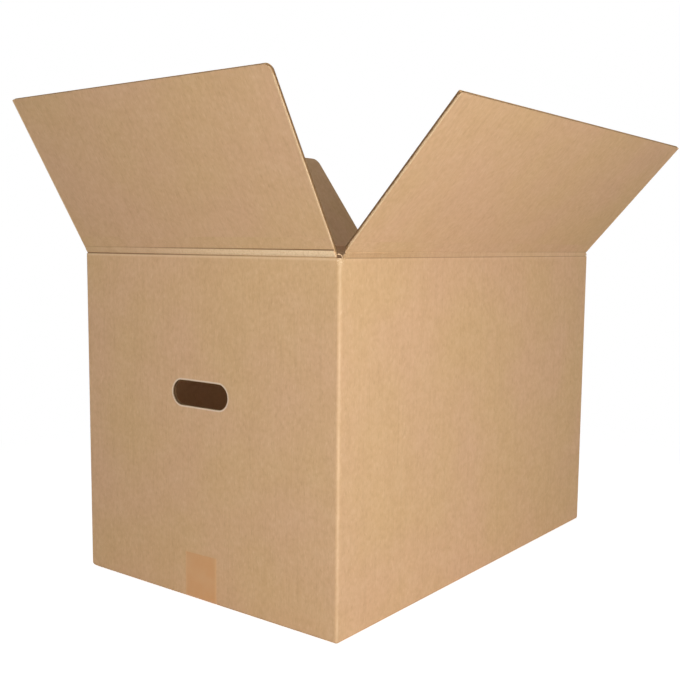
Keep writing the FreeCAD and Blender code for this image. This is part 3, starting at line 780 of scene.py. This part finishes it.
def seen_directly(tree):
    """1 for rays that see the background: the camera's own and those off gloss or through glass."""
    kinds = ("Camera", "Glossy", "Transmission")
    camera, gloss, glass = (add(tree, "LightPath", output=f"Is {kind} Ray") for kind in kinds)
    reflected = add(tree, "Math", [gloss, glass], operation="ADD")
    return add(tree, "Math", [camera, reflected], operation="ADD", use_clamp=True)


def make_world():
    """Pale surroundings, dimmer overhead, seen as white."""
    world = bpy.data.worlds.new("studio")
    world.use_nodes = True
    tree = world.node_tree
    tree.nodes.clear()
    height = add(tree, "SeparateXYZ", [add(tree, "TexCoord")], "Z")
    light = add(tree, "MapRange", [height, 0.3, 0.9, *WORLD_LIGHT], **SMOOTH)
    strength = add(tree, "MapRange", [seen_directly(tree), 0, 1, light, 1])
    background = add(tree, "Background", [WHITE, strength])
    tree.links.new(background, tree.nodes.new("ShaderNodeOutputWorld").inputs["Surface"])
    bpy.context.scene.world = world


def make_softbox(name, place, aim, size, power):
    """A square soft lamp at a place, turned to face a point."""
    light = bpy.data.lights.new(name, "AREA")
    light.shape = "SQUARE"
    light.size = size
    light.energy = power
    made = bpy.data.objects.new(name, light)
    back = np.array(place) - np.array(aim)
    across = np.cross(UP, back)
    across /= np.linalg.norm(across)
    back /= np.linalg.norm(back)
    turn = Matrix((across, np.cross(back, across), back)).transposed().to_4x4()
    made.matrix_world = Matrix.Translation(place) @ turn
    bpy.context.scene.collection.objects.link(made)


def make_camera(place, yaw, pitch, roll, lens, shift):
    """The photograph's view, fitted to the box's straight edges. Angles are in degrees."""
    yaw, pitch, roll = (math.radians(angle) for angle in (yaw, pitch, roll))
    level = math.cos(pitch)
    forward = np.array([math.sin(yaw) * level, math.cos(yaw) * level, -math.sin(pitch)])
    right = np.array([math.cos(yaw), -math.sin(yaw), 0])
    top = np.cross(right, forward)
    across = math.cos(roll) * right + math.sin(roll) * top
    upright = math.cos(roll) * top - math.sin(roll) * right
    data = bpy.data.cameras.new("camera")
    data.lens = lens
    data.shift_x, data.shift_y = shift
    data.clip_start, data.clip_end = 0.05, 50
    made = bpy.data.objects.new("camera", data)
    turn = Matrix((across, upright, -forward)).transposed().to_4x4()
    made.matrix_world = Matrix.Translation(place) @ turn
    bpy.context.scene.collection.objects.link(made)
    bpy.context.scene.camera = made


# Each kind of crease: its score lines' distances from the axis and half widths. Then, at its two
# ends, the bead's height and peak, the painted shade in the lower and upper line, and the bead's
# paleness, partly broken fibres and partly a painted highlight, and its painted shade. Last, the
# painted highlight on the ridge that the lower line pushed up below it.
CREASE_LOOKS = {
    "end": {
        "lines": (0.0, 8.6 * MM),
        "widths": (1.3 * MM, 1.0 * MM),
        "bead": (0.4 * MM, 1.1 * MM),
        "peak": (0.35, 0.35),
        "dark": ((0.8, 0.1), (0.15, 0.9)),
        "pale": (0.1, 1.0),
        "shade": (0.1, 0.0),
        "ridge_highlight": 0.4,
    },
    "side": {
        "lines": (-5.0 * MM, 1.4 * MM),
        "widths": (0.9 * MM, 0.8 * MM),
        "bead": (1.15 * MM, 0.3 * MM),
        "peak": (0.84, 0.4),
        "dark": ((0.4, 0.3), (0.0, 0.2)),
        "pale": (0.0, 0.15),
        "shade": (0.32, 0.0),
        "ridge_highlight": 0.1,
    },
}

# The four corners' torn liner: its side in x and y, and the seed of its ragged line
TORN_CORNERS = {
    "near_torn_corner": (-1, -1, 3),
    "left_torn_corner": (-1, 1, 7),
    "right_torn_corner": (1, -1, 13),
    "far_torn_corner": (1, 1, 19),
}

# The world's light from the horizon and from overhead, and the soft lamps: place, the point that
# they face, size and power. The last lights the sides that the photograph doesn't show.
WORLD_LIGHT = (0.28, 0.16)
FRONT_MIDDLE = (-0.1, -0.1, 0.3)
LAMPS = {
    "key": ((-0.9, -1.5, 0.35), FRONT_MIDDLE, 0.8, 13.5),
    "upper": ((-1.7, -1.0, 1.3), FRONT_MIDDLE, 1.0, 14),
    "back": ((1.5, 1.7, 0.25), (0.1, 0.1, 0.2), 0.7, 16),
}
CAMERA = {
    "place": (-1.0547, -0.7833, 0.4126),
    "yaw": 52.739,
    "pitch": 6.256,
    "roll": 0.561,
    "lens": 50.39,
    "shift": (-0.0101, 0.0109),
}

creases = [read_crease(joint) for joint in frame["joints"]]
finishes = {"carton": carton_board(), "packing_tape": packing_film()}
finishes.update({crease["node"]: flap_board(crease) for crease in creases})
for node, finish in finishes.items():
    frame["nodes"][node].data.materials.clear()
    frame["nodes"][node].data.materials.append(finish)

for crease in creases:
    look = CREASE_LOOKS[crease["kind"]]
    liner = creased_liner_painted_light(f"creased_liner_painted_light_{crease['name']}", look)
    outer_crease(crease, look, liner)
    inner_crease(crease, liner)

torn = torn_liner()
for crease in creases:
    slotted_edge(crease, -1, torn)
    slotted_edge(crease, 1, torn)

rim = cut_rim()
hole_rim("near_hand_hole_rim", -HALF_LENGTH + BOARD, -HALF_LENGTH, rim)
hole_rim("far_hand_hole_rim", HALF_LENGTH - BOARD, HALF_LENGTH, rim)

for name, corner in TORN_CORNERS.items():
    torn_corner(name, *corner, torn)

tape_strip(finishes["packing_tape"])

make_floor()
make_world()
for name, lamp in LAMPS.items():
    make_softbox(name, *lamp)
make_camera(**CAMERA)
bpy.context.scene.view_settings.view_transform = "Standard"
